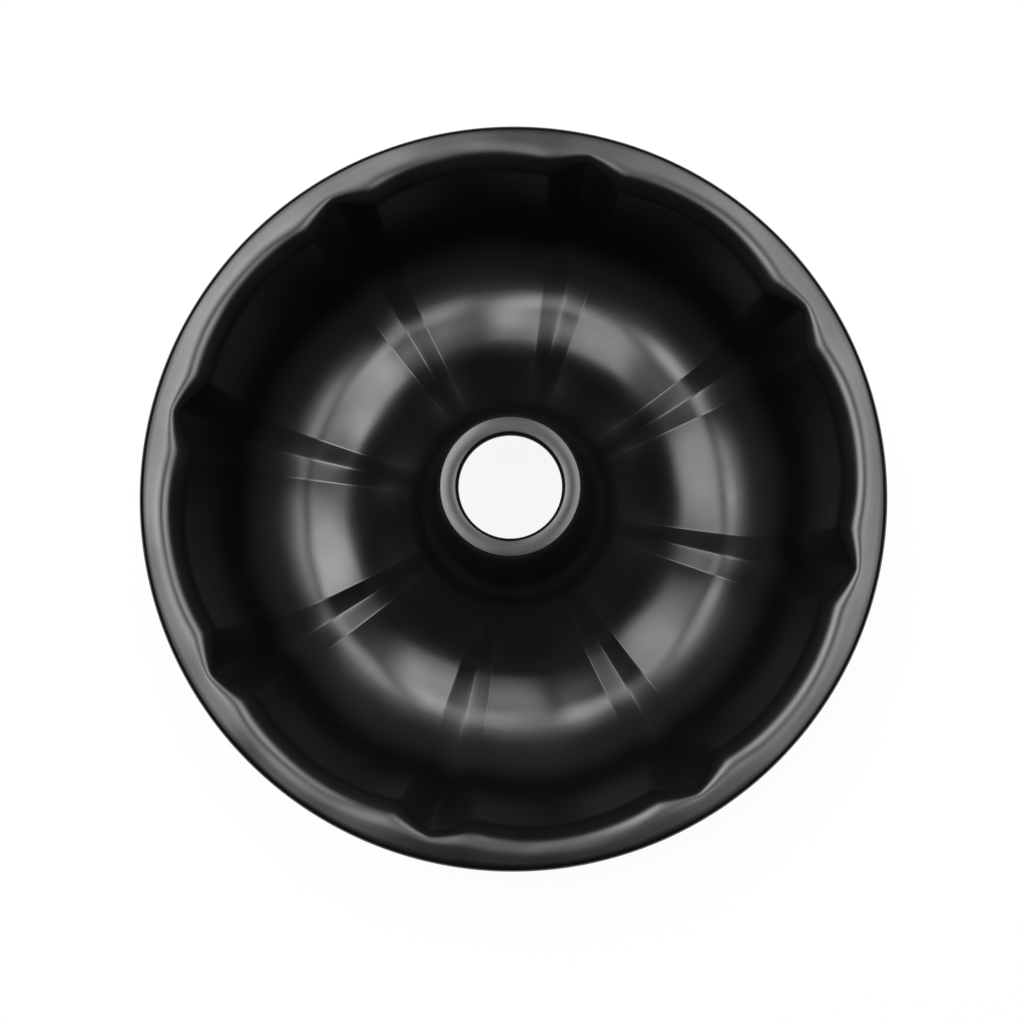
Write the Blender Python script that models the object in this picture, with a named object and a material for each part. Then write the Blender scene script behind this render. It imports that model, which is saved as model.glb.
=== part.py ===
"""Fluted tube pan: a ring pan drawn from one sheet of steel, with a wire rolled into its rim.

Metres, +Z up. The pan stands on z = 0, on a small flat land under each lobe, and the origin
is the middle of that plane. Every wall is one sheet, so its shape is given by the meridians of
its cake side: one down the middle of a lobe, one down the crease beside a flute and one down
the bottom of a flute. All the others blend these three, and the underside lies one sheet
thickness behind.
"""

import math

import bmesh
import bpy
from mathutils import Matrix, Vector

# The sheet, the rim and the tube
SHEET = 0.0008
RIM_R = 0.1205
RIM_HEIGHT = 0.0807
TUBE_HEIGHT = 0.0904
TUBE_TOP_R = 0.0226
TUBE_TOP_BEND = 0.0012
HOLE_R = 0.0162
HOLE_BEND = 0.0012
COLLAR_DEPTH = 0.003

# The floor: it runs out from the tube's foot and down to a flat ring, and then bends up
TUBE_FOOT_R = 0.0312
TUBE_FOOT_HEIGHT = 0.0145
TUBE_FOOT_BEND = 0.028
FLOOR_FLAT_R = 0.066
FLOOR_BEND = 0.060

# The outer wall, and its wide shoulder up to the flat top of the rolled rim
FLANGE_WIDTH = 0.0129
WALL_TOP_R = RIM_R - FLANGE_WIDTH
WALL_LEAN = 0.002
WALL_FOOT_R = WALL_TOP_R - WALL_LEAN
WALL_FOOT_BEND = 0.0255
SHOULDER_BEND = 0.0084

# The wire, and the edge that is rolled round it
WIRE_R = 0.0008
WIRE_CLEARANCE = 0.0003
CURL_R = WIRE_R + WIRE_CLEARANCE + SHEET
CURL_RETURN = 0.0049

# The flutes: V-shaped valleys pressed outwards between the lobes
FLUTES = 8
FLUTE_PHASE = math.radians(76.8)
FLUTE_START_R = 0.042
FLUTE_HALF_ANGLE_FLOOR = math.radians(5.7)
FLUTE_HALF_ANGLE_RIM = math.radians(6.6)
CREASE_INSET = 0.0022
FLUTE_INSET = 0.0004
FLUTE_OUTSET_RIM = 0.0035
FLUTE_SHOULDER_BEND = 0.0035
LOBE_FLAT_SHARE = 0.2
LOBE_FULLNESS = 1.5

# How many flat steps stand in for each curve
HOLE_STEPS = 1
TUBE_TOP_STEPS = 2
TUBE_FOOT_STEPS = 3
FLOOR_STEPS = 2
WALL_FOOT_STEPS = 5
SHOULDER_STEPS = 3
CURL_STEPS = 6
FLUTE_SIDE_STEPS = 2
LOBE_SIDE_STEPS = 4
WIRE_SIDES = 6

# Edges that turn by more than this are shaded sharp
SHARP_TURN = math.radians(35)

# Finishes: colour, metallic, roughness
NON_STICK_BLACK = ((0.022, 0.022, 0.024, 1.0), 0.0, 0.38)
BRIGHT_WIRE = ((0.42, 0.42, 0.43, 1.0), 1.0, 0.35)


def finish(name, look):
    """A plain material of this colour, metallic value and roughness."""
    colour, metallic, roughness = look
    material = bpy.data.materials.new(name)
    material.use_nodes = True
    shader = material.node_tree.nodes["Principled BSDF"]
    shader.inputs["Base Color"].default_value = colour
    shader.inputs["Metallic"].default_value = metallic
    shader.inputs["Roughness"].default_value = roughness
    return material


def directions(corners):
    """The unit direction of each straight run between two corners."""
    return [(b[0] - a[0]).normalized() for a, b in zip(corners, corners[1:])]


def right_of(direction):
    return Vector((direction.y, -direction.x))


def behind(corners, depth):
    """The corners of the face that lies this far to the right, with every bend concentric."""
    runs = directions(corners)
    moved = []
    for i, (point, bend, steps) in enumerate(corners):
        before = runs[max(i - 1, 0)]
        after = runs[min(i, len(runs) - 1)]
        sides = right_of(before) + right_of(after)
        shift = sides * depth / (1 + right_of(before).dot(right_of(after)))
        turns_left = before.cross(after) > 0
        if bend > 0:
            bend += depth if turns_left else -depth
        moved.append((point + shift, bend, steps))
    return moved


def bent_path(corners):
    """The points of a path with its corners bent to their radii, as far as the runs allow."""
    runs = directions(corners)
    tangents = [0.0] * len(corners)
    for i in range(1, len(corners) - 1):
        half_turn = runs[i - 1].angle(runs[i]) / 2
        tangents[i] = corners[i][1] * math.tan(half_turn)
    for i in range(len(runs)):
        length = (corners[i + 1][0] - corners[i][0]).length
        wanted = tangents[i] + tangents[i + 1]
        if wanted > length:
            tangents[i] *= length / wanted
            tangents[i + 1] *= length / wanted
    points = []
    for i, (corner, bend, steps) in enumerate(corners):
        if bend <= 0 or steps == 0:
            points.append(corner)
            continue
        turn = runs[i - 1].angle_signed(runs[i])
        start = corner - runs[i - 1] * tangents[i]
        radius = tangents[i] / math.tan(abs(turn) / 2)
        inward = -right_of(runs[i - 1]) if runs[i - 1].cross(runs[i]) > 0 else right_of(runs[i - 1])
        centre = start + inward * radius
        for step in range(steps + 1):
            arm = start - centre
            arm.rotate(Matrix.Rotation(-turn * step / steps, 2))
            points.append(centre + arm)
    return points


def meridian(inset, inset_rim, shoulder_bend, depth):
    """One meridian of the sheet, `depth` behind its cake side, from the collar to the rolled edge.

    The floor is lifted and the wall drawn in by `inset`, which turns to `inset_rim` at the rim
    and to nothing where the flutes start beside the tube.
    """
    foot = Vector((TUBE_FOOT_R, TUBE_FOOT_HEIGHT))
    flat = Vector((FLOOR_FLAT_R, SHEET))
    start_share = (FLUTE_START_R - TUBE_FOOT_R) / (FLOOR_FLAT_R - TUBE_FOOT_R)
    corners = [
        (Vector((HOLE_R, TUBE_HEIGHT - COLLAR_DEPTH)), 0, 0),
        (Vector((HOLE_R, TUBE_HEIGHT)), HOLE_BEND, HOLE_STEPS),
        (Vector((TUBE_TOP_R, TUBE_HEIGHT)), TUBE_TOP_BEND, TUBE_TOP_STEPS),
        (foot, TUBE_FOOT_BEND, TUBE_FOOT_STEPS),
        (foot.lerp(flat, start_share), 0, 0),
        (flat + Vector((0, inset)), FLOOR_BEND, FLOOR_STEPS),
        (Vector((WALL_FOOT_R - inset, SHEET + inset)), WALL_FOOT_BEND - inset, WALL_FOOT_STEPS),
        (Vector((WALL_TOP_R - inset_rim, RIM_HEIGHT)), shoulder_bend, SHOULDER_STEPS),
        (Vector((RIM_R - CURL_R, RIM_HEIGHT)), 0, 0),
    ]
    points = bent_path(behind(corners, depth))
    centre = Vector((RIM_R - CURL_R, RIM_HEIGHT - CURL_R))
    for step in range(1, CURL_STEPS + 1):
        turn = math.pi * step / CURL_STEPS
        points.append(centre + Vector((math.sin(turn), math.cos(turn))) * (CURL_R - depth))
    points.append(Vector((RIM_R - CURL_RETURN, RIM_HEIGHT - 2 * CURL_R + depth)))
    return points


def section(*shape):
    """The closed outline of the sheet on one meridian: out along its cake side, back underneath."""
    return meridian(*shape, 0) + meridian(*shape, SHEET)[::-1]


def half_pitch_columns():
    """The meridians from the bottom of a flute to the middle of a lobe.

    Each is its share of the flute's half width, its share of the way on from there to the
    middle of the lobe, and its outline.
    """
    flute = section(FLUTE_INSET, -FLUTE_OUTSET_RIM, FLUTE_SHOULDER_BEND)
    crease = section(CREASE_INSET, CREASE_INSET, SHOULDER_BEND)
    lobe = section(0, 0, SHOULDER_BEND)
    columns = []
    for step in range(FLUTE_SIDE_STEPS + 1):
        share = step / FLUTE_SIDE_STEPS
        columns.append((share, 0, [a.lerp(b, share) for a, b in zip(flute, crease)]))
    arch_share = 1 - LOBE_FLAT_SHARE
    for step in range(1, LOBE_SIDE_STEPS):
        along = step / (LOBE_SIDE_STEPS - 1)
        bulge = 1 - (1 - along) ** LOBE_FULLNESS
        columns.append((1, arch_share * along, [a.lerp(b, bulge) for a, b in zip(crease, lobe)]))
    columns.append((1, 1, lobe))
    return columns


def half_angle(height):
    """Half the flute's width at this height."""
    growth = FLUTE_HALF_ANGLE_RIM - FLUTE_HALF_ANGLE_FLOOR
    return FLUTE_HALF_ANGLE_FLOOR + growth * height / RIM_HEIGHT


def ring_of_columns():
    """Every meridian of the pan in turn, as points in space."""
    half_pitch = math.pi / FLUTES
    half = half_pitch_columns()
    mirrored = [(-1, column) for column in half[:0:-1]]
    one_pitch = mirrored[1:] + [(1, column) for column in half]
    rings = []
    for flute in range(FLUTES):
        middle = FLUTE_PHASE + 2 * half_pitch * flute
        for side, (flute_share, lobe_share, outline) in one_pitch:
            ring = []
            for point in outline:
                width = half_angle(point.y)
                angle = width * flute_share + (half_pitch - width) * lobe_share
                angle = middle + side * angle
                ring.append((point.x * math.cos(angle), point.x * math.sin(angle), point.y))
            rings.append(ring)
    return rings


def add_object(name, mesh, look):
    """Put the mesh in the scene under this name, smooth but for its creases."""
    mesh.shade_smooth()
    mesh.set_sharp_from_angle(angle=SHARP_TURN)
    mesh.materials.append(finish(name + "_finish", look))
    made = bpy.data.objects.new(name, mesh)
    bpy.context.scene.collection.objects.link(made)
    return made


def make_pan_shell():
    """Loft the closed outlines round the axis into the one drawn sheet."""
    bm = bmesh.new()
    rings = [[bm.verts.new(place) for place in ring] for ring in ring_of_columns()]
    for this, following in zip(rings, rings[1:] + rings[:1]):
        for i in range(len(this)):
            j = (i + 1) % len(this)
            bm.faces.new((this[i], this[j], following[j], following[i]))
    mesh = bpy.data.meshes.new("pan_shell")
    bm.to_mesh(mesh)
    bm.free()
    return add_object("pan_shell", mesh, NON_STICK_BLACK)


def make_rim_wire():
    """The stiffening wire: a ring of round wire that the rim is rolled round."""
    columns = len(ring_of_columns())
    centre_r = RIM_R - CURL_R
    bm = bmesh.new()
    rings = []
    for column in range(columns):
        angle = FLUTE_PHASE + 2 * math.pi * column / columns
        ring = []
        for side in range(WIRE_SIDES):
            turn = -2 * math.pi * side / WIRE_SIDES
            radius = centre_r + WIRE_R * math.cos(turn)
            height = RIM_HEIGHT - CURL_R + WIRE_R * math.sin(turn)
            ring.append(bm.verts.new((radius * math.cos(angle), radius * math.sin(angle), height)))
        rings.append(ring)
    for this, following in zip(rings, rings[1:] + rings[:1]):
        for i in range(WIRE_SIDES):
            j = (i + 1) % WIRE_SIDES
            bm.faces.new((this[i], this[j], following[j], following[i]))
    mesh = bpy.data.meshes.new("rim_wire")
    bm.to_mesh(mesh)
    bm.free()
    return add_object("rim_wire", mesh, BRIGHT_WIRE)


def main():
    for old in list(bpy.data.objects):
        bpy.data.objects.remove(old)
    make_pan_shell()
    make_rim_wire()


main()
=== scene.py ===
import math

import bpy
from mathutils import Matrix, Vector


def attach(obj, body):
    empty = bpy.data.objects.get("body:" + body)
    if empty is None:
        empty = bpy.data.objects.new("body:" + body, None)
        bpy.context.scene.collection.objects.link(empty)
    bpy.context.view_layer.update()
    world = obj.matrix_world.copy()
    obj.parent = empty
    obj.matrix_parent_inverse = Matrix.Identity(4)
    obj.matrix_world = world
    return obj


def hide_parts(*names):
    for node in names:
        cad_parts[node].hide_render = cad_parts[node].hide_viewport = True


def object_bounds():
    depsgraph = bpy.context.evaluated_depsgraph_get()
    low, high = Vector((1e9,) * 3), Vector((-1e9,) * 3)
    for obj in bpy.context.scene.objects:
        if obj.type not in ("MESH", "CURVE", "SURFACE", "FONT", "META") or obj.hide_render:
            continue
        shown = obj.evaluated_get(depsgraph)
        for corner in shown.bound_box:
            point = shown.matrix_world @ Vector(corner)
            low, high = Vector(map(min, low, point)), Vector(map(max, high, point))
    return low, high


bl_info = {
    "name": "Fluted tube pan",
    "version": (1, 0, 0),
    "blender": (4, 5, 0),
    "location": "3D View > Sidebar > Tube pan",
    "description": "Makes a ring-cake pan of black coated steel with fluted walls and a rolled rim",
    "category": "Object",
}

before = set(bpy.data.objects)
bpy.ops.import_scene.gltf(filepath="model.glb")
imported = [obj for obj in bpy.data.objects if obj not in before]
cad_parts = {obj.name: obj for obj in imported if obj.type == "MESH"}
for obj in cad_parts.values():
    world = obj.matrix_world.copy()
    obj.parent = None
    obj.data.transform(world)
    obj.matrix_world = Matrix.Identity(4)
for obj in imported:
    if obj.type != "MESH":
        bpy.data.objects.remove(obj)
CAD_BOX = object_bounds()

FLUTES = 8
MERGE_DISTANCE = 0.00001

# Bends, in stages that ease in and out: share of the turn, factor of the radius, steps
HOLE_STAGES = ((1.0, 1.0, 3),)
TUBE_TOP_STAGES = ((1.0, 1.0, 3),)
TUBE_FOOT_STAGES = ((0.15, 1.5, 2), (0.7, 0.85, 6), (0.15, 1.5, 2))
FLOOR_STAGES = ((0.2, 1.2, 3), (0.56, 0.65, 6), (0.24, 1.5, 4))
WALL_FOOT_STAGES = ((0.04, 1.6, 2), (0.2, 0.88, 5), (0.76, 1.02, 11))
SHOULDER_STAGES = ((0.15, 1.4, 3), (0.7, 0.85, 9), (0.15, 1.4, 3))

# How the straight runs and the rolled edge are divided
TUBE_SIDE_CUTS = 3
FLOOR_CUTS = 2
WALL_CUTS = 7
CURL_STEPS = 10
RETURN_CUTS = 1

# Columns of the mesh, from the bottom of a flute to the middle of a lobe
BOTTOM_COLUMNS = 3
SIDE_COLUMNS = 5
CREASE_COLUMNS = 8
LOBE_COLUMNS = 14

# How much further round than its softness a flute's bottom has closer columns
BOTTOM_SPREAD = 1.5

WIRE_SEGMENTS = 180
WIRE_SIDES = 20

# A pen starts from a plane of this size, merged to one point
PEN_PLANE = 0.001

# Edges that turn by more than this are shaded sharp
SHARP_TURN = math.radians(40)

# Slant of the coated sheet, 1 where it lies level: from where to where its gloss changes
SPECULAR_SLANTS = (0.1, 0.8)
SPECULAR_LEVELS = (0.42, 0.85)
ROUGHNESS_SLANTS = (0.5, 0.95)

# Where the added roughness outside sets in, outwards from the axis, and where it ends, upwards
OUTER_RADII = (0.080, 0.092)
OUTER_HEIGHTS = (0.010, 0.030)

# Unevenness of the coating: clouds of gloss and tint, waves of the sheet
CLOUD_SCALE = 38.0
CLOUD_DETAIL = 3.0
CLOUD_RANGE = (0.3, 0.7)
GLOSS_CHANGE = (-0.03, 0.03)
TINT_FACTOR = 1.3
WAVE_SCALE = 42.0

# Fine lines along the wire
GRAIN_SCALE = 900.0
GRAIN_DETAIL = 2.0
WIRE_ROUGHNESS = (0.25, 0.45)

# The stage
FLOOR_SIZE = 12.0
FLOOR_LIFT = 0.91
FLOOR_SHADE = 0.12
ROOM_STRENGTH = 0.01
SENSOR_WIDTH = 36.0
CLIP_START = 0.01
WHITE = (1.0, 1.0, 1.0, 1.0)


class ShellSizes(bpy.types.PropertyGroup):
    """Sizes of the drawn sheet, its tube, its wall and its rolled rim."""

    sheet: bpy.props.FloatProperty(
        name="Sheet", description="Thickness of the steel sheet",
        default=0.0008, min=0.0004, unit="LENGTH")
    rim_radius: bpy.props.FloatProperty(
        name="Rim radius", description="Outside of the rolled rim",
        default=CAD_BOX[1][0], unit="LENGTH")
    rim_height: bpy.props.FloatProperty(
        name="Rim height", description="Top of the rim above the plane that the pan stands on",
        default=0.0807, unit="LENGTH")
    tube_height: bpy.props.FloatProperty(
        name="Tube height", description="Top of the centre tube",
        default=CAD_BOX[1][2], unit="LENGTH")
    tube_top_radius: bpy.props.FloatProperty(
        name="Tube top radius", description="Outer edge of the flat ring on the tube",
        default=0.0226, unit="LENGTH")
    tube_top_bend: bpy.props.FloatProperty(
        name="Tube top bend", description="Bend between the flat ring and the tube's side",
        default=0.0012, unit="LENGTH")
    hole_radius: bpy.props.FloatProperty(
        name="Hole radius", description="Inside of the turned-down collar",
        default=0.0162, unit="LENGTH")
    hole_bend: bpy.props.FloatProperty(
        name="Hole bend", description="Bend from the flat ring down into the hole",
        default=0.0012, unit="LENGTH")
    collar_depth: bpy.props.FloatProperty(
        name="Collar depth", description="How far the collar is turned down into the hole",
        default=0.003, unit="LENGTH")
    tube_foot_radius: bpy.props.FloatProperty(
        name="Tube foot radius", description="Where the tube's side would meet the floor",
        default=0.0312, unit="LENGTH")
    tube_foot_height: bpy.props.FloatProperty(
        name="Tube foot height", description="Height of that meeting point",
        default=0.0145, unit="LENGTH")
    tube_foot_bend: bpy.props.FloatProperty(
        name="Tube foot bend", description="Bend from the tube into the floor",
        default=0.028, unit="LENGTH")
    floor_radius: bpy.props.FloatProperty(
        name="Floor radius", description="Where the sloping floor turns flat",
        default=0.066, unit="LENGTH")
    floor_bend: bpy.props.FloatProperty(
        name="Floor bend", description="Bend between the sloping and the flat floor",
        default=0.060, unit="LENGTH")
    wall_foot_radius: bpy.props.FloatProperty(
        name="Wall foot radius", description="Where the wall would meet the flat floor",
        default=0.1056, unit="LENGTH")
    wall_foot_bend: bpy.props.FloatProperty(
        name="Wall foot bend", description="Bend from the floor up into the wall",
        default=0.0255, unit="LENGTH")
    wall_top_radius: bpy.props.FloatProperty(
        name="Wall top radius", description="Where the wall would meet the rim's flat top",
        default=0.1076, unit="LENGTH")
    shoulder_bend: bpy.props.FloatProperty(
        name="Shoulder bend", description="Wide bend from the wall to the rim's flat top",
        default=0.0084, unit="LENGTH")
    wire_radius: bpy.props.FloatProperty(
        name="Wire radius", description="Radius of the wire in the rim",
        default=0.0008, unit="LENGTH")
    wire_clearance: bpy.props.FloatProperty(
        name="Wire clearance", description="Air between the wire and the roll",
        default=0.0003, unit="LENGTH")
    curl_return: bpy.props.FloatProperty(
        name="Curl return", description="How far the rolled edge runs back under the flange",
        default=0.0049, unit="LENGTH")


class FluteSizes(bpy.types.PropertyGroup):
    """Sizes of the V-shaped flutes between the lobes."""

    phase: bpy.props.FloatProperty(
        name="Phase", description="Direction of the first flute",
        default=math.radians(76.8), subtype="ANGLE")
    start_radius: bpy.props.FloatProperty(
        name="Start radius", description="Where the flutes fade in beside the tube",
        default=0.042, unit="LENGTH")
    half_angle_floor: bpy.props.FloatProperty(
        name="Half width at the floor", description="From a flute's bottom to its crease",
        default=math.radians(5.7), subtype="ANGLE")
    half_angle_rim: bpy.props.FloatProperty(
        name="Half width at the rim", description="From a flute's bottom to its crease",
        default=math.radians(6.6), subtype="ANGLE")
    crease_inset: bpy.props.FloatProperty(
        name="Crease inset", description="How far the creases stand in from the lobes",
        default=0.0022, unit="LENGTH")
    bottom_inset: bpy.props.FloatProperty(
        name="Bottom inset", description="How far a flute's bottom stands in from the lobes",
        default=0.0004, unit="LENGTH")
    bottom_outset_rim: bpy.props.FloatProperty(
        name="Bottom outset at the rim", description="How far it stands out from them at the rim",
        default=0.0035, unit="LENGTH")
    bottom_shoulder_bend: bpy.props.FloatProperty(
        name="Bottom shoulder bend", description="Bend from a flute's bottom to the rim",
        default=0.0035, unit="LENGTH")
    crease_softness: bpy.props.FloatVectorProperty(
        name="Crease softness", description="Share of the depth rounded off, at floor and rim",
        default=(0.08, 0.45), min=0.01, max=0.9, size=2)
    bottom_softness: bpy.props.FloatVectorProperty(
        name="Bottom softness", description="Share of the half width rounded, at floor and rim",
        default=(0.05, 0.15), min=0.01, max=0.9, size=2)
    lobe_fullness: bpy.props.FloatProperty(
        name="Lobe fullness", description="Higher values bring the lobe's arch up sooner",
        default=2.0, min=1.0, max=4.0)


class Finishes(bpy.types.PropertyGroup):
    """Colours and gloss of the coating and the wire."""

    coating: bpy.props.FloatVectorProperty(
        name="Coating", description="Colour of the non-stick coating",
        default=(0.0035, 0.0035, 0.0036, 1.0), size=4, subtype="COLOR")
    flat_roughness: bpy.props.FloatProperty(
        name="Roughness on the flat", description="Satin gloss of the coating where it lies level",
        default=0.22, min=0.0, max=1.0, subtype="FACTOR")
    steep_roughness: bpy.props.FloatProperty(
        name="Roughness on the steep", description="Where it is sprayed at a slant on steep walls",
        default=0.5, min=0.0, max=1.0, subtype="FACTOR")
    outer_roughness: bpy.props.FloatProperty(
        name="Added roughness outside", description="How much matter it is beyond the floor's flat",
        default=0.14, min=0.0, max=1.0, subtype="FACTOR")
    waviness: bpy.props.FloatProperty(
        name="Waviness", description="Depth of the sheet's faint waves",
        default=0.0008, min=0.0, unit="LENGTH")
    wire: bpy.props.FloatVectorProperty(
        name="Wire", description="Colour of the drawn wire",
        default=(0.42, 0.42, 0.43, 1.0), size=4, subtype="COLOR")


class StudioSettings(bpy.types.PropertyGroup):
    """The floor, the soft light and the camera."""

    floor_colour: bpy.props.FloatVectorProperty(
        name="Floor", description="Colour of the floor",
        default=(0.8, 0.8, 0.8, 1.0), size=4, subtype="COLOR")
    light_height: bpy.props.FloatProperty(
        name="Light height", description="The softboxes above the floor",
        default=1.6, unit="LENGTH")
    light_far: bpy.props.FloatProperty(
        name="Far edge", description="Far edge of the softboxes along Y",
        default=1.55, unit="LENGTH")
    light_end_fade: bpy.props.FloatVectorProperty(
        name="End fade", description="How far in the light fades from the near and far edges",
        default=(0.75, 1.2), size=2, unit="LENGTH")
    left_span: bpy.props.FloatVectorProperty(
        name="Left light", description="Edges of the left softbox along X",
        default=(-1.25, 0.1), size=2, unit="LENGTH")
    left_fade: bpy.props.FloatVectorProperty(
        name="Left light fade", description="How far in the light fades from those edges",
        default=(0.83, 0.55), size=2, unit="LENGTH")
    left_near: bpy.props.FloatProperty(
        name="Left light near edge", description="Near edge of the left softbox along Y",
        default=-0.62, unit="LENGTH")
    left_power: bpy.props.FloatProperty(
        name="Left light power", description="Power of the left softbox for each square metre",
        default=19.0, unit="POWER")
    right_span: bpy.props.FloatVectorProperty(
        name="Right light", description="Edges of the right softbox along X",
        default=(-0.1, 1.3), size=2, unit="LENGTH")
    right_fade: bpy.props.FloatVectorProperty(
        name="Right light fade", description="How far in the light fades from those edges",
        default=(0.52, 1.0), size=2, unit="LENGTH")
    right_near: bpy.props.FloatProperty(
        name="Right light near edge", description="Near edge of the right softbox along Y",
        default=-0.7, unit="LENGTH")
    right_power: bpy.props.FloatProperty(
        name="Right light power", description="Power of the right softbox for each square metre",
        default=14.5, unit="POWER")
    middle_span: bpy.props.FloatVectorProperty(
        name="Middle light", description="Edges of the softbox between them along X",
        default=(-0.35, 0.35), size=2, unit="LENGTH")
    middle_fade: bpy.props.FloatVectorProperty(
        name="Middle light fade", description="How far in the light fades from those edges",
        default=(0.35, 0.35), size=2, unit="LENGTH")
    middle_near: bpy.props.FloatProperty(
        name="Middle light near edge", description="Near edge of the middle softbox along Y",
        default=-0.4, unit="LENGTH")
    middle_power: bpy.props.FloatProperty(
        name="Middle light power", description="Power of the middle softbox for each square metre",
        default=11.0, unit="POWER")
    camera_place: bpy.props.FloatVectorProperty(
        name="Camera place", description="Camera, above the pan's origin",
        default=(0.00611, -0.02781, 0.38548), subtype="TRANSLATION", unit="LENGTH")
    camera_tilt: bpy.props.FloatVectorProperty(
        name="Camera tilt", description="Turns of the camera about X and Y from straight down",
        default=(math.radians(3.833), math.radians(1.067)), size=2, subtype="EULER")
    camera_lens: bpy.props.FloatProperty(
        name="Camera lens", description="Focal length on a 36 mm sensor",
        default=33.56)


def edit(obj):
    """Select only this object and go into edit mode on it."""
    bpy.ops.object.select_all(action="DESELECT")
    bpy.context.view_layer.objects.active = obj
    obj.select_set(True)
    bpy.ops.object.mode_set(mode="EDIT")


def place(obj):
    """Leave edit mode and put the object's place and turn into its mesh."""
    bpy.ops.object.mode_set(mode="OBJECT")
    bpy.ops.object.transform_apply(location=True, rotation=True, scale=True)
    return obj


class Pen:
    """Draws one path in the X-Z plane: straight runs are extruded and bends are spun."""

    def __init__(self, name, start):
        bpy.ops.object.select_all(action="DESELECT")
        bpy.ops.mesh.primitive_plane_add(size=PEN_PLANE)
        self.obj = bpy.context.object
        self.obj.name = name
        bpy.ops.object.mode_set(mode="EDIT")
        bpy.ops.mesh.select_mode(type="VERT")
        bpy.ops.mesh.merge(type="CENTER")
        bpy.ops.transform.translate(value=(start.x, 0, start.y))
        self.at = start

    def run(self, to, cuts):
        """Extrude straight on to this point."""
        step = (to - self.at) / cuts
        for _ in range(cuts):
            bpy.ops.mesh.extrude_region_move(TRANSFORM_OT_translate={"value": (step.x, 0, step.y)})
        self.at = to

    def bend(self, centre, turn, steps):
        """Spin on about this centre. A positive turn is to the left, seen with X right and Z up."""
        bpy.ops.mesh.spin(
            steps=steps, angle=turn, center=(centre.x, 0, centre.y), axis=(0, 1, 0))
        arm = self.at - centre
        arm.rotate(Matrix.Rotation(turn, 2))
        self.at = centre + arm


def left_of(direction):
    return Vector((-direction.y, direction.x))


def bend_reach(turn, stages):
    """How far a bend of unit radius reaches back from its corner, and on from it."""
    ahead = aside = angle = 0.0
    for share, factor in stages:
        further = angle + turn * share
        ahead += factor * (math.sin(further) - math.sin(angle))
        aside += factor * (math.cos(angle) - math.cos(further))
        angle = further
    on = aside / math.sin(turn)
    return ahead - on * math.cos(turn), on


def draw_corners(name, corners):
    """Draw a path through corners given as (point, bend radius, bend stages, cuts on the way there).

    A stage is its share of the bend's turn, its radius as a factor of the bend's, and its steps.
    """
    points = [corner[0] for corner in corners]
    ways = [(b - a).normalized() for a, b in zip(points, points[1:])]
    reaches = [(0.0, 0.0)] * len(corners)
    for i in range(1, len(corners) - 1):
        radius, stages = corners[i][1:3]
        if radius:
            turn = ways[i - 1].angle(ways[i])
            unit = bend_reach(turn, [stage[:2] for stage in stages])
            reaches[i] = (unit[0] * radius, unit[1] * radius)
    fits = [1.0] * len(corners)
    for i in range(len(ways)):
        length = (points[i + 1] - points[i]).length
        wanted = reaches[i][1] * fits[i] + reaches[i + 1][0] * fits[i + 1]
        if wanted > length:
            fits[i] *= length / wanted
            fits[i + 1] *= length / wanted
    pen = Pen(name, points[0])
    for i in range(1, len(corners)):
        point, radius, stages, cuts = corners[i]
        way = ways[i - 1].copy()
        pen.run(point - way * reaches[i][0] * fits[i], cuts)
        if radius:
            turn = way.angle_signed(ways[i])
            for share, factor, steps in stages:
                side = left_of(way) * (-1 if turn > 0 else 1)
                pen.bend(pen.at + side * radius * fits[i] * factor, -turn * share, steps)
                way.rotate(Matrix.Rotation(-turn * share, 2))
    return pen


def draw_meridian(name, shell, flute, inset, inset_rim, shoulder_bend):
    """Draw one meridian of the cake side, from the collar's edge to the rolled edge."""
    foot = Vector((shell.tube_foot_radius, shell.tube_foot_height))
    flat = Vector((shell.floor_radius, shell.sheet))
    start_share = (flute.start_radius - foot.x) / (flat.x - foot.x)
    curl_radius = shell.wire_radius + shell.wire_clearance + shell.sheet
    rim_top = shell.rim_height
    top = shell.tube_height
    pen = draw_corners(name, [
        (Vector((shell.hole_radius, top - shell.collar_depth)), 0, (), 1),
        (Vector((shell.hole_radius, top)), shell.hole_bend, HOLE_STAGES, 1),
        (Vector((shell.tube_top_radius, top)), shell.tube_top_bend, TUBE_TOP_STAGES, 2),
        (foot, shell.tube_foot_bend, TUBE_FOOT_STAGES, TUBE_SIDE_CUTS),
        (foot.lerp(flat, start_share), 0, (), 1),
        (flat + Vector((0, inset)), shell.floor_bend, FLOOR_STAGES, FLOOR_CUTS),
        (Vector((shell.wall_foot_radius - inset, shell.sheet + inset)),
         shell.wall_foot_bend - inset, WALL_FOOT_STAGES, 2),
        (Vector((shell.wall_top_radius - inset_rim, rim_top)),
         shoulder_bend, SHOULDER_STAGES, WALL_CUTS),
        (Vector((shell.rim_radius - curl_radius, rim_top)), 0, (), 3),
    ])
    pen.bend(Vector((shell.rim_radius - curl_radius, rim_top - curl_radius)), -math.pi, CURL_STEPS)
    pen.run(Vector((shell.rim_radius - shell.curl_return, rim_top - 2 * curl_radius)), RETURN_CUTS)
    return pen.obj


def spin_half_pitch(flute):
    """Spin the drawn meridian from a flute's bottom to a lobe's middle, closer at the crease."""
    half_pitch = math.pi / FLUTES
    crease = flute.half_angle_floor
    near = crease * flute.crease_softness[0]
    bottom = crease * flute.bottom_softness[0] * BOTTOM_SPREAD
    bpy.ops.mesh.select_all(action="SELECT")
    for steps, angle in (
        (BOTTOM_COLUMNS, bottom),
        (SIDE_COLUMNS, crease - near - bottom),
        (CREASE_COLUMNS, 2 * near),
        (LOBE_COLUMNS, half_pitch - crease - near),
    ):
        bpy.ops.mesh.spin(steps=steps, angle=-angle, center=(0, 0, 0), axis=(0, 0, 1))
    bpy.ops.object.mode_set(mode="OBJECT")


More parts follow.
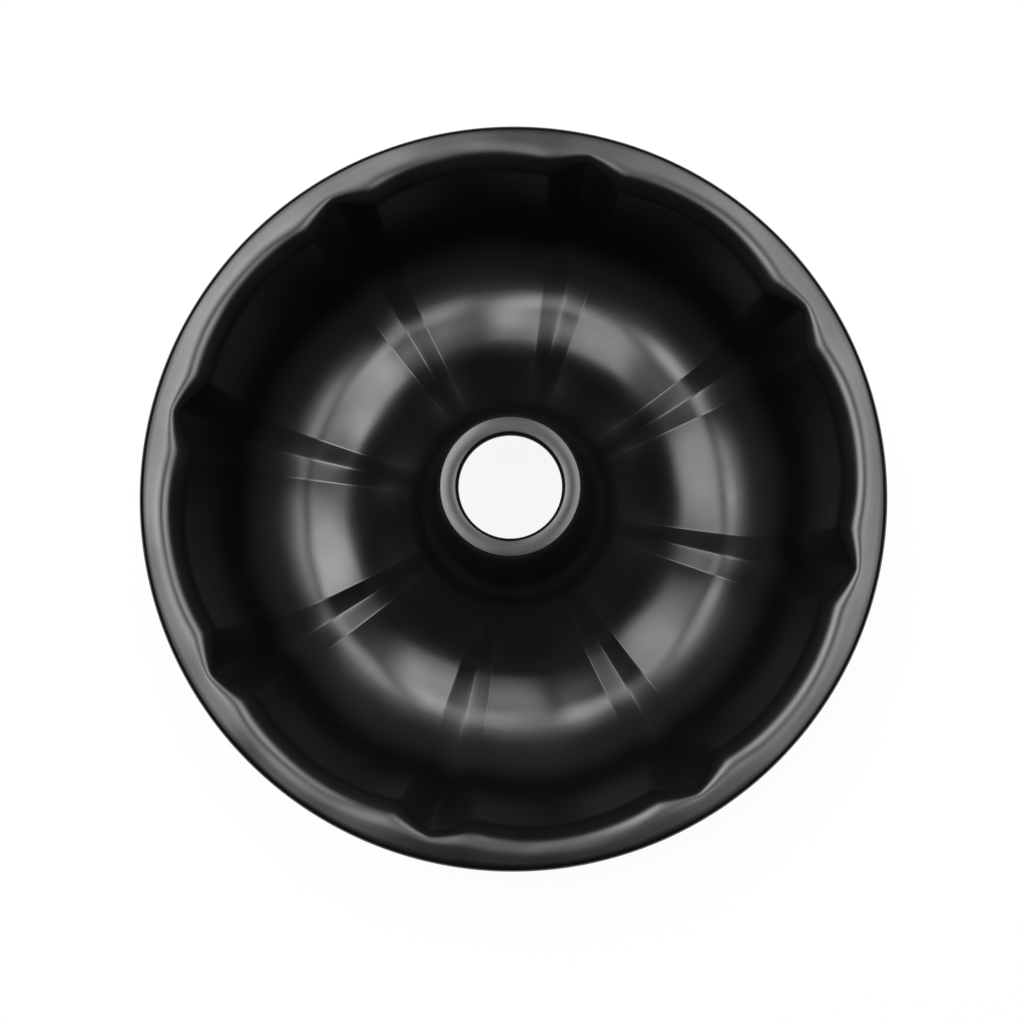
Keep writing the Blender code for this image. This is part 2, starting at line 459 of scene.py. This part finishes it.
def at_height(floor_and_rim, share):
    """Between a value at the floor and one at the rim, eased at both ends."""
    low, high = floor_and_rim
    return low + (high - low) * share * share * (3 - 2 * share)


def rise(flute, angle, up):
    """How far up a flute's side this angle is: 0 at the bottom, 1 at the crease and more beyond."""
    soft = at_height(flute.bottom_softness, up)
    return (math.hypot(angle / flute.half_angle_floor, soft) - soft) / (math.hypot(1, soft) - soft)


def crease_share(flute, angle, up):
    """How much of the crease's meridian shows in the sheet at this angle and height."""
    crease = flute.half_angle_floor
    rising = rise(flute, angle, up)
    along = (angle - crease) / (math.pi / FLUTES - crease)
    falling = max(1 - along, 0) ** flute.lobe_fullness
    soft = at_height(flute.crease_softness, up)
    blend = max(soft - abs(rising - falling), 0) / soft
    return min(rising, falling) - blend * blend * soft / 4


def bottom_share(flute, angle, up):
    """How much of the bottom's meridian shows in the sheet at this angle and height."""
    return max(1 - rise(flute, angle, up), 0)


def blend_meridians(patch, flute, rim_height):
    """Bend the lobe's patch towards the crease's and the bottom's, by weight round the axis."""
    shapes = (("crease", crease_share), ("bottom", bottom_share))
    for name, share in shapes:
        group = patch.vertex_groups.new(name=name)
        for vertex in patch.data.vertices:
            angle = abs(math.atan2(vertex.co.y, vertex.co.x))
            up = min(vertex.co.z / rim_height, 1)
            group.add([vertex.index], min(max(share(flute, angle, up), 0), 1), "REPLACE")
        key = patch.data.shape_keys.key_blocks[name]
        key.vertex_group = name
        key.value = 1
    patch.active_shape_key_index = 0
    bpy.ops.object.shape_key_remove(all=True, apply_mix=True)
    patch.vertex_groups.clear()


def widen_flutes(patch, shell, flute):
    """Turn each point about the axis, so that the flutes grow wider towards the rim."""
    half_pitch = math.pi / FLUTES
    crease = flute.half_angle_floor
    for vertex in patch.data.vertices:
        angle = math.atan2(vertex.co.y, vertex.co.x)
        height_share = vertex.co.z / shell.rim_height
        wide = crease + (flute.half_angle_rim - crease) * height_share
        if abs(angle) < crease:
            moved = angle * wide / crease
        else:
            along = (abs(angle) - crease) / (half_pitch - crease)
            moved = math.copysign(wide + (half_pitch - wide) * along, angle)
        vertex.co.rotate(Matrix.Rotation(moved - angle, 3, "Z"))


class TUBEPAN_OT_shell(bpy.types.Operator):
    """Draw, spin, blend and thicken the fluted shell"""

    bl_idname = "tubepan.shell"
    bl_label = "Make the fluted shell"

    def execute(self, context):
        shell = context.scene.tubepan_shell
        flute = context.scene.tubepan_flutes
        made = []
        for name, inset, inset_rim, shoulder_bend in (
            ("bottom", flute.bottom_inset, -flute.bottom_outset_rim, flute.bottom_shoulder_bend),
            ("crease", flute.crease_inset, flute.crease_inset, shell.shoulder_bend),
            ("fluted_shell", 0, 0, shell.shoulder_bend),
        ):
            made.append(draw_meridian(name, shell, flute, inset, inset_rim, shoulder_bend))
            spin_half_pitch(flute)
        patch = made[-1]
        for obj in made:
            obj.select_set(True)
        context.view_layer.objects.active = patch
        bpy.ops.object.join_shapes()
        for obj in made[:-1]:
            bpy.data.objects.remove(obj)
        bpy.ops.object.select_all(action="DESELECT")
        patch.select_set(True)
        context.view_layer.objects.active = patch
        blend_meridians(patch, flute, shell.rim_height)
        widen_flutes(patch, shell, flute)
        mirror = patch.modifiers.new("other half", "MIRROR")
        mirror.use_axis = (False, True, False)
        mirror.merge_threshold = MERGE_DISTANCE
        bpy.ops.object.modifier_apply(modifier=mirror.name)
        edit(patch)
        bpy.ops.mesh.select_all(action="SELECT")
        bpy.ops.mesh.spin(
            steps=FLUTES - 1, dupli=True, angle=2 * math.pi * (FLUTES - 1) / FLUTES,
            center=(0, 0, 0), axis=(0, 0, 1))
        bpy.ops.mesh.select_all(action="SELECT")
        bpy.ops.mesh.remove_doubles(threshold=MERGE_DISTANCE)
        bpy.ops.mesh.normals_make_consistent(inside=False)
        bpy.ops.object.mode_set(mode="OBJECT")
        ring = max(patch.data.polygons, key=lambda face: face.center.z)
        if ring.normal.z < 0:
            patch.data.flip_normals()
        wall = patch.modifiers.new("sheet", "SOLIDIFY")
        wall.thickness = shell.sheet
        wall.offset = -1
        wall.use_even_offset = True
        bpy.ops.object.modifier_apply(modifier=wall.name)
        patch.rotation_euler.z = flute.phase
        bpy.ops.object.transform_apply(location=False, rotation=True, scale=False)
        bpy.ops.object.shade_smooth_by_angle(angle=SHARP_TURN)
        patch.data.materials.append(coating(context.scene.tubepan_finishes))
        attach(patch, "root")
        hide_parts("pan_shell")
        return {"FINISHED"}


class TUBEPAN_OT_wire(bpy.types.Operator):
    """Turn the stiffening wire that the rim is rolled round"""

    bl_idname = "tubepan.wire"
    bl_label = "Make the rim wire"

    def execute(self, context):
        shell = context.scene.tubepan_shell
        curl_radius = shell.wire_radius + shell.wire_clearance + shell.sheet
        bpy.ops.object.select_all(action="DESELECT")
        bpy.ops.mesh.primitive_circle_add(
            vertices=WIRE_SIDES, radius=shell.wire_radius, rotation=(math.pi / 2, 0, 0),
            location=(shell.rim_radius - curl_radius, 0, shell.rim_height - curl_radius))
        wire = context.object
        wire.name = "drawn_wire"
        place(wire)
        edit(wire)
        bpy.ops.mesh.select_all(action="SELECT")
        bpy.ops.mesh.spin(
            steps=WIRE_SEGMENTS, angle=2 * math.pi, center=(0, 0, 0), axis=(0, 0, 1))
        bpy.ops.mesh.select_all(action="SELECT")
        bpy.ops.mesh.remove_doubles(threshold=MERGE_DISTANCE)
        bpy.ops.mesh.normals_make_consistent(inside=False)
        bpy.ops.object.mode_set(mode="OBJECT")
        bpy.ops.object.shade_smooth()
        wire.data.materials.append(drawn_steel(context.scene.tubepan_finishes))
        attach(wire, "root")
        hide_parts("rim_wire")
        return {"FINISHED"}


def node(tree, kind, **values):
    """Add a node and set its own values by name and its sockets by their names."""
    made = tree.nodes.new(kind)
    for name, value in values.items():
        if hasattr(made, name):
            setattr(made, name, value)
        else:
            made.inputs[name.replace("_", " ")].default_value = value
    return made


def map_range(tree, source, values_from, values_to):
    """A socket that carries one range of values over to another, eased at both ends."""
    made = node(tree, "ShaderNodeMapRange", interpolation_type="SMOOTHSTEP")
    made.inputs["From Min"].default_value, made.inputs["From Max"].default_value = values_from
    made.inputs["To Min"].default_value, made.inputs["To Max"].default_value = values_to
    tree.links.new(source, made.inputs["Value"])
    return made.outputs["Result"]


def combine(tree, operation, first, second):
    """A socket with the sum, the product or the like of two."""
    made = node(tree, "ShaderNodeMath", operation=operation)
    tree.links.new(first, made.inputs[0])
    tree.links.new(second, made.inputs[1])
    return made.outputs[0]


def coating(finishes):
    """Satin black non-stick coating: matter outwards and on steep walls, and a little uneven."""
    material = bpy.data.materials.new("non_stick_coating")
    material.use_nodes = True
    tree = material.node_tree
    shader = tree.nodes["Principled BSDF"]
    place_of = node(tree, "ShaderNodeTexCoord")
    level = node(tree, "ShaderNodeVectorMath", operation="MULTIPLY")
    level.inputs[1].default_value = (1.0, 1.0, 0.0)
    tree.links.new(place_of.outputs["Object"], level.inputs[0])
    reach = node(tree, "ShaderNodeVectorMath", operation="LENGTH")
    tree.links.new(level.outputs[0], reach.inputs[0])
    facing = node(tree, "ShaderNodeSeparateXYZ")
    tree.links.new(place_of.outputs["Normal"], facing.inputs[0])
    upright = node(tree, "ShaderNodeMath", operation="ABSOLUTE")
    tree.links.new(facing.outputs["Z"], upright.inputs[0])
    cloud = node(tree, "ShaderNodeTexNoise", Scale=CLOUD_SCALE, Detail=CLOUD_DETAIL)
    tree.links.new(place_of.outputs["Object"], cloud.inputs["Vector"])
    sheen = map_range(tree, upright.outputs[0], SPECULAR_SLANTS, SPECULAR_LEVELS)
    tree.links.new(sheen, shader.inputs["Specular IOR Level"])
    slant = map_range(
        tree, upright.outputs[0], ROUGHNESS_SLANTS,
        (finishes.steep_roughness, finishes.flat_roughness))
    outwards = map_range(
        tree, reach.outputs["Value"], OUTER_RADII, (0.0, finishes.outer_roughness))
    height = node(tree, "ShaderNodeSeparateXYZ")
    tree.links.new(place_of.outputs["Object"], height.inputs[0])
    below = map_range(tree, height.outputs["Z"], OUTER_HEIGHTS, (1.0, 0.0))
    bend = combine(tree, "MULTIPLY", outwards, below)
    patchy = map_range(tree, cloud.outputs["Fac"], CLOUD_RANGE, GLOSS_CHANGE)
    gloss = combine(tree, "ADD", combine(tree, "ADD", slant, bend), patchy)
    tree.links.new(gloss, shader.inputs["Roughness"])
    waves = node(tree, "ShaderNodeTexNoise", Scale=WAVE_SCALE, Detail=0.0)
    tree.links.new(place_of.outputs["Object"], waves.inputs["Vector"])
    dents = node(tree, "ShaderNodeBump", Strength=1.0, Distance=finishes.waviness)
    tree.links.new(waves.outputs["Fac"], dents.inputs["Height"])
    tree.links.new(dents.outputs["Normal"], shader.inputs["Normal"])
    tint = node(tree, "ShaderNodeMixRGB")
    tint.inputs["Color1"].default_value = finishes.coating
    paler = [value * TINT_FACTOR for value in finishes.coating[:3]]
    tint.inputs["Color2"].default_value = paler + [1.0]
    tree.links.new(cloud.outputs["Fac"], tint.inputs["Fac"])
    tree.links.new(tint.outputs["Color"], shader.inputs["Base Color"])
    return material


def drawn_steel(finishes):
    """Bright drawn wire with fine lines along it."""
    material = bpy.data.materials.new("bright_wire")
    material.use_nodes = True
    tree = material.node_tree
    shader = tree.nodes["Principled BSDF"]
    shader.inputs["Base Color"].default_value = finishes.wire
    shader.inputs["Metallic"].default_value = 1.0
    place_of = node(tree, "ShaderNodeTexCoord")
    grain = node(tree, "ShaderNodeTexNoise", Scale=GRAIN_SCALE, Detail=GRAIN_DETAIL)
    tree.links.new(place_of.outputs["Object"], grain.inputs["Vector"])
    gloss = node(tree, "ShaderNodeMapRange")
    gloss.inputs["To Min"].default_value, gloss.inputs["To Max"].default_value = WIRE_ROUGHNESS
    tree.links.new(grain.outputs["Fac"], gloss.inputs["Value"])
    tree.links.new(gloss.outputs["Result"], shader.inputs["Roughness"])
    return material


def faded(tree, along, length, fades):
    """A socket that dims a light near the two ends of its length."""
    low, high = (fade / length for fade in fades)
    return combine(
        tree, "MULTIPLY",
        map_range(tree, along, (0.0, low), (0.0, 1.0)),
        map_range(tree, along, (1.0 - high, 1.0), (1.0, 0.0)))


def softbox(side, studio):
    """Hang one rectangular light level above the pan, bright in its middle and faint at its edges."""
    span, fade, near, power = (
        getattr(studio, side + part) for part in ("_span", "_fade", "_near", "_power"))
    reach = (near, studio.light_far)
    width, depth = span[1] - span[0], reach[1] - reach[0]
    bpy.ops.object.light_add(
        type="AREA", location=(sum(span) / 2, sum(reach) / 2, studio.light_height))
    lamp = bpy.context.object
    lamp.name = side + "_softbox"
    lamp.data.shape = "RECTANGLE"
    lamp.data.size = width
    lamp.data.size_y = depth
    lamp.data.energy = power * width * depth
    lamp.data.use_nodes = True
    tree = lamp.data.node_tree
    over = node(tree, "ShaderNodeNewGeometry")
    along = node(tree, "ShaderNodeSeparateXYZ")
    tree.links.new(over.outputs["Parametric"], along.inputs[0])
    strength = combine(
        tree, "MULTIPLY",
        faded(tree, along.outputs["X"], width, fade),
        faded(tree, along.outputs["Y"], depth, studio.light_end_fade))
    tree.links.new(strength, tree.nodes["Emission"].inputs["Strength"])


class TUBEPAN_OT_stage(bpy.types.Operator):
    """Set the pale floor, the soft light and the camera"""

    bl_idname = "tubepan.stage"
    bl_label = "Set the stage"

    def execute(self, context):
        studio = context.scene.tubepan_studio
        scene = context.scene
        scene.view_settings.view_transform = "Standard"
        bpy.ops.object.select_all(action="DESELECT")
        bpy.ops.mesh.primitive_plane_add(size=FLOOR_SIZE)
        floor = context.object
        floor.name = "floor"
        floor.data.materials.append(pale_floor(studio))
        for side in ("left", "right", "middle"):
            softbox(side, studio)
        about_x, about_y = studio.camera_tilt[:2]
        tilt = Matrix.Rotation(about_x, 3, "X") @ Matrix.Rotation(about_y, 3, "Y")
        bpy.ops.object.camera_add(location=studio.camera_place, rotation=tilt.to_euler())
        scene.camera = context.object
        scene.camera.data.lens = studio.camera_lens
        scene.camera.data.sensor_width = SENSOR_WIDTH
        scene.camera.data.clip_start = CLIP_START
        scene.world = studio_world()
        return {"FINISHED"}


def seen_directly(tree, with_gloss):
    """A socket that is 1 for rays that see the background straight, or in gloss or through glass."""
    path = node(tree, "ShaderNodeLightPath")
    seen = path.outputs["Is Camera Ray"]
    if with_gloss:
        for name in ("Is Glossy Ray", "Is Transmission Ray"):
            either = node(tree, "ShaderNodeMath", operation="MAXIMUM")
            tree.links.new(seen, either.inputs[0])
            tree.links.new(path.outputs[name], either.inputs[1])
            seen = either.outputs[0]
    return seen


def pale_floor(studio):
    """A pale matt floor that looks white, with a faint shadow, where it is looked at."""
    material = bpy.data.materials.new("pale_floor")
    material.use_nodes = True
    tree = material.node_tree
    tree.nodes.clear()
    matt = node(tree, "ShaderNodeBsdfDiffuse", Color=studio.floor_colour)
    lift = node(tree, "ShaderNodeEmission", Color=WHITE, Strength=FLOOR_LIFT)
    faint = node(
        tree, "ShaderNodeBsdfDiffuse", Color=(FLOOR_SHADE, FLOOR_SHADE, FLOOR_SHADE, 1.0))
    looks = node(tree, "ShaderNodeAddShader")
    tree.links.new(faint.outputs[0], looks.inputs[0])
    tree.links.new(lift.outputs[0], looks.inputs[1])
    mix = node(tree, "ShaderNodeMixShader")
    tree.links.new(seen_directly(tree, True), mix.inputs["Fac"])
    tree.links.new(matt.outputs[0], mix.inputs[1])
    tree.links.new(looks.outputs[0], mix.inputs[2])
    out = node(tree, "ShaderNodeOutputMaterial")
    tree.links.new(mix.outputs[0], out.inputs["Surface"])
    return material


def studio_world():
    """A dim room that the camera sees as white."""
    world = bpy.data.worlds.new("studio")
    world.use_nodes = True
    tree = world.node_tree
    tree.nodes.clear()
    room = node(tree, "ShaderNodeBackground", Color=WHITE, Strength=ROOM_STRENGTH)
    white = node(tree, "ShaderNodeBackground", Color=WHITE, Strength=1.0)
    mix = node(tree, "ShaderNodeMixShader")
    tree.links.new(seen_directly(tree, False), mix.inputs["Fac"])
    tree.links.new(room.outputs[0], mix.inputs[1])
    tree.links.new(white.outputs[0], mix.inputs[2])
    out = node(tree, "ShaderNodeOutputWorld")
    tree.links.new(mix.outputs[0], out.inputs["Surface"])
    return world


class TUBEPAN_PT_panel(bpy.types.Panel):
    """The pan's sizes, finishes and steps"""

    bl_label = "Tube pan"
    bl_idname = "TUBEPAN_PT_panel"
    bl_space_type = "VIEW_3D"
    bl_region_type = "UI"
    bl_category = "Tube pan"

    def draw(self, context):
        layout = self.layout
        for group in GROUPS:
            box = layout.box()
            box.label(text=group)
            settings = getattr(context.scene, group)
            for name in settings.__annotations__:
                box.prop(settings, name)
        for operator in OPERATORS:
            layout.operator(operator.bl_idname)


GROUPS = {
    "tubepan_shell": ShellSizes,
    "tubepan_flutes": FluteSizes,
    "tubepan_finishes": Finishes,
    "tubepan_studio": StudioSettings,
}
OPERATORS = (TUBEPAN_OT_shell, TUBEPAN_OT_wire, TUBEPAN_OT_stage)


def register():
    for name, group in GROUPS.items():
        bpy.utils.register_class(group)
        setattr(bpy.types.Scene, name, bpy.props.PointerProperty(type=group))
    for kind in OPERATORS + (TUBEPAN_PT_panel,):
        bpy.utils.register_class(kind)


def unregister():
    for kind in (TUBEPAN_PT_panel,) + OPERATORS[::-1]:
        bpy.utils.unregister_class(kind)
    for name, group in GROUPS.items():
        delattr(bpy.types.Scene, name)
        bpy.utils.unregister_class(group)


def main():
    register()
    bpy.ops.tubepan.shell()
    bpy.ops.tubepan.wire()
    bpy.ops.tubepan.stage()


if __name__ == "__main__":
    main()
